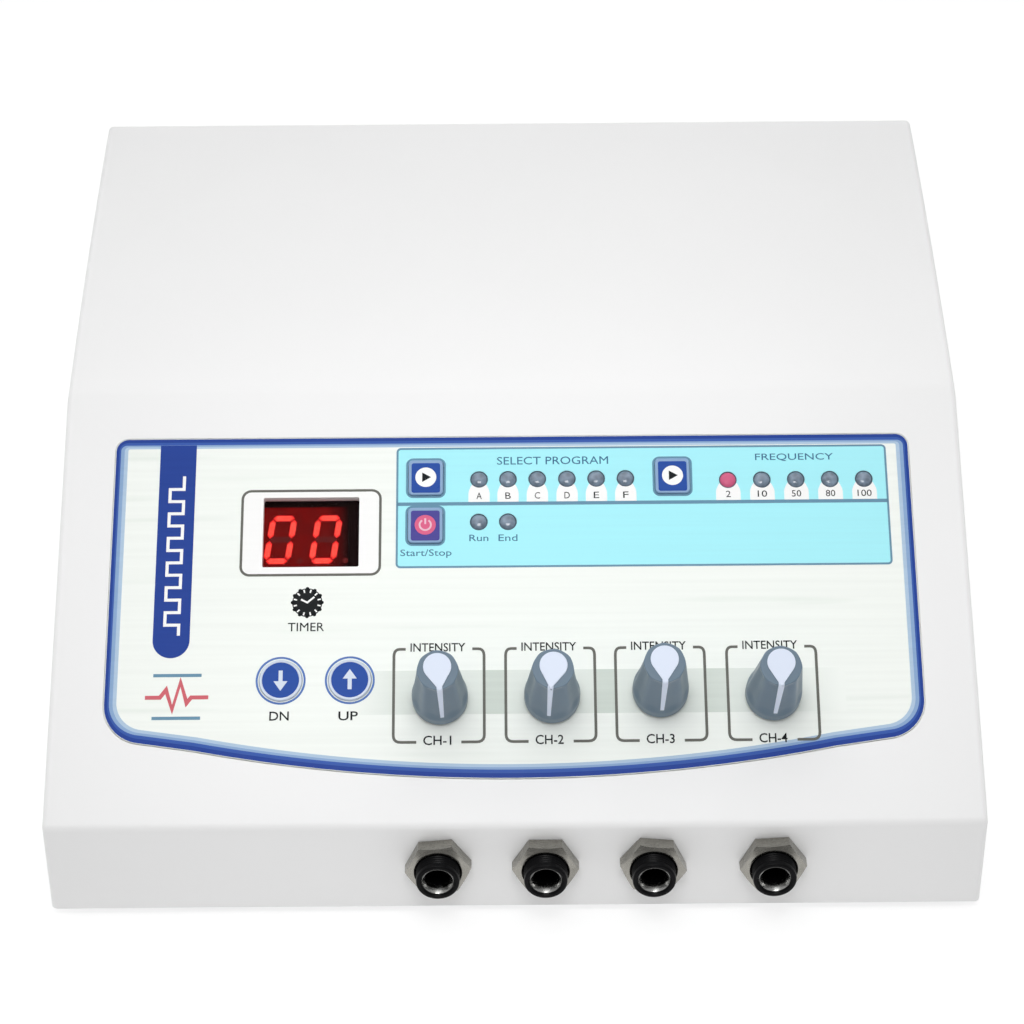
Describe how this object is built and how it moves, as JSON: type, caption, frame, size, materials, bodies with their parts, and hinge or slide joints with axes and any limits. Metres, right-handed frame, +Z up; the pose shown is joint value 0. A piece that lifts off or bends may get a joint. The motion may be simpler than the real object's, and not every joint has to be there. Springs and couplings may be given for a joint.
{
  "type": "desktop electrotherapy stimulator",
  "caption": "Wedge-shaped white desktop case with a sloping label panel, digital timer display, press keys, indicator lamps, pointer knobs and front jack sockets.",
  "frame": {"origin": "middle of the footprint, on the surface that the rubber feet stand on", "axes": "+Z up, +Y from the front jacks to the back wall, +X to the right as the user sees the panel"},
  "size_m": [0.25, 0.2497, 0.0889],
  "materials": {
    "case_white": "fine satin moulded ABS",
    "tray_grey": "satin moulded ABS",
    "label_white": "printed polyester film",
    "filter_red": "dark red display filter",
    "display_black": "matte black display body",
    "board_green": "solder mask on glass-epoxy board",
    "knob_grey": "satin blue-grey knob",
    "pointer_white": "satin white insert",
    "nickel": "nickel plate",
    "ferrule_chrome": "bright plate",
    "pot_steel": "zinc plate",
    "jack_black": "satin black moulding",
    "key_blue": "satin blue key",
    "lamp_grey": "clear grey lamp epoxy",
    "foot_rubber": "matte black rubber",
    "screw_zinc": "zinc plate",
    "core_steel": "varnished laminations",
    "ribbon_grey": "grey ribbon cable",
    "rocker_black": "gloss black rocker"
  },
  "bodies": {
    "case": {"top_cover": "case_white", "base_tray": "tray_grey", "front_label": "label_white", "display_window": "filter_red", "display_module": "display_black", "display_board": "board_green", "pot_body_ch1": "pot_steel", "pot_body_ch2": "pot_steel", "pot_body_ch3": "pot_steel", "pot_body_ch4": "pot_steel", "pot_nut_ch1": "nickel", "pot_nut_ch2": "nickel", "pot_nut_ch3": "nickel", "pot_nut_ch4": "nickel", "jack_body_ch1": "jack_black", "jack_body_ch2": "jack_black", "jack_body_ch3": "jack_black", "jack_body_ch4": "jack_black", "jack_ferrule_ch1": "ferrule_chrome", "jack_ferrule_ch2": "ferrule_chrome", "jack_ferrule_ch3": "ferrule_chrome", "jack_ferrule_ch4": "ferrule_chrome", "jack_nut_ch1": "nickel", "jack_nut_ch2": "nickel", "jack_nut_ch3": "nickel", "jack_nut_ch4": "nickel", "program_leds": "lamp_grey", "frequency_leds": "lamp_grey", "status_leds": "lamp_grey", "main_board": "board_green", "transformer": "core_steel", "ribbon_cable": "ribbon_grey", "mains_inlet": "jack_black", "foot_1": "foot_rubber", "foot_2": "foot_rubber", "foot_3": "foot_rubber", "foot_4": "foot_rubber", "case_screw_1": "screw_zinc", "case_screw_2": "screw_zinc", "case_screw_3": "screw_zinc", "case_screw_4": "screw_zinc"},
    "intensity_knob_ch1": {"knob_ch1": "knob_grey", "knob_pointer_ch1": "pointer_white", "pot_shaft_ch1": "nickel"},
    "intensity_knob_ch2": {"knob_ch2": "knob_grey", "knob_pointer_ch2": "pointer_white", "pot_shaft_ch2": "nickel"},
    "intensity_knob_ch3": {"knob_ch3": "knob_grey", "knob_pointer_ch3": "pointer_white", "pot_shaft_ch3": "nickel"},
    "intensity_knob_ch4": {"knob_ch4": "knob_grey", "knob_pointer_ch4": "pointer_white", "pot_shaft_ch4": "nickel"},
    "down_key": {"key_down": "key_blue"},
    "up_key": {"key_up": "key_blue"},
    "program_key": {"key_program": "key_blue"},
    "frequency_key": {"key_frequency": "key_blue"},
    "start_stop_key": {"key_start_stop": "key_blue"},
    "fuse_holder": {"fuse_drawer": "jack_black"},
    "power_switch": {"power_rocker": "rocker_black"}
  },
  "joints": [
    {"name": "turn_knob_ch1", "type": "hinge", "parent": "case", "child": "intensity_knob_ch1", "pos_m": [-0.0198, -0.08261, 0.04532], "axis": [0, 0.4179, -0.9085], "range_deg": [0, 300]},
    {"name": "turn_knob_ch2", "type": "hinge", "parent": "case", "child": "intensity_knob_ch2", "pos_m": [0.0102, -0.08248, 0.04539], "axis": [0, 0.4179, -0.9085], "range_deg": [0, 300]},
    {"name": "turn_knob_ch3", "type": "hinge", "parent": "case", "child": "intensity_knob_ch3", "pos_m": [0.0392, -0.0812, 0.04597], "axis": [0, 0.4179, -0.9085], "range_deg": [0, 300]},
    {"name": "turn_knob_ch4", "type": "hinge", "parent": "case", "child": "intensity_knob_ch4", "pos_m": [0.0694, -0.0822, 0.04551], "axis": [0, 0.4179, -0.9085], "range_deg": [0, 300]},
    {"name": "press_key_down", "type": "slide", "parent": "case", "child": "down_key", "axis": [0, 0.4179, -0.9085], "range_m": [0, 0.0005], "stiffness_N_per_m": 1500},
    {"name": "press_key_up", "type": "slide", "parent": "case", "child": "up_key", "axis": [0, 0.4179, -0.9085], "range_m": [0, 0.0005], "stiffness_N_per_m": 1500},
    {"name": "press_key_program", "type": "slide", "parent": "case", "child": "program_key", "axis": [0, 0.4179, -0.9085], "range_m": [0, 0.0005], "stiffness_N_per_m": 1500},
    {"name": "press_key_frequency", "type": "slide", "parent": "case", "child": "frequency_key", "axis": [0, 0.4179, -0.9085], "range_m": [0, 0.0005], "stiffness_N_per_m": 1500},
    {"name": "press_key_start_stop", "type": "slide", "parent": "case", "child": "start_stop_key", "axis": [0, 0.4179, -0.9085], "range_m": [0, 0.0005], "stiffness_N_per_m": 1500},
    {"name": "slide_fuse_drawer", "type": "slide", "parent": "case", "child": "fuse_holder", "axis": [0, 1, 0], "range_m": [0, 0.016]},
    {"name": "tip_power_rocker", "type": "hinge", "parent": "case", "child": "power_switch", "pos_m": [-0.07, 0.11785, 0.062], "axis": [0, 0, 1], "range_deg": [-18, 0]}
  ]
}
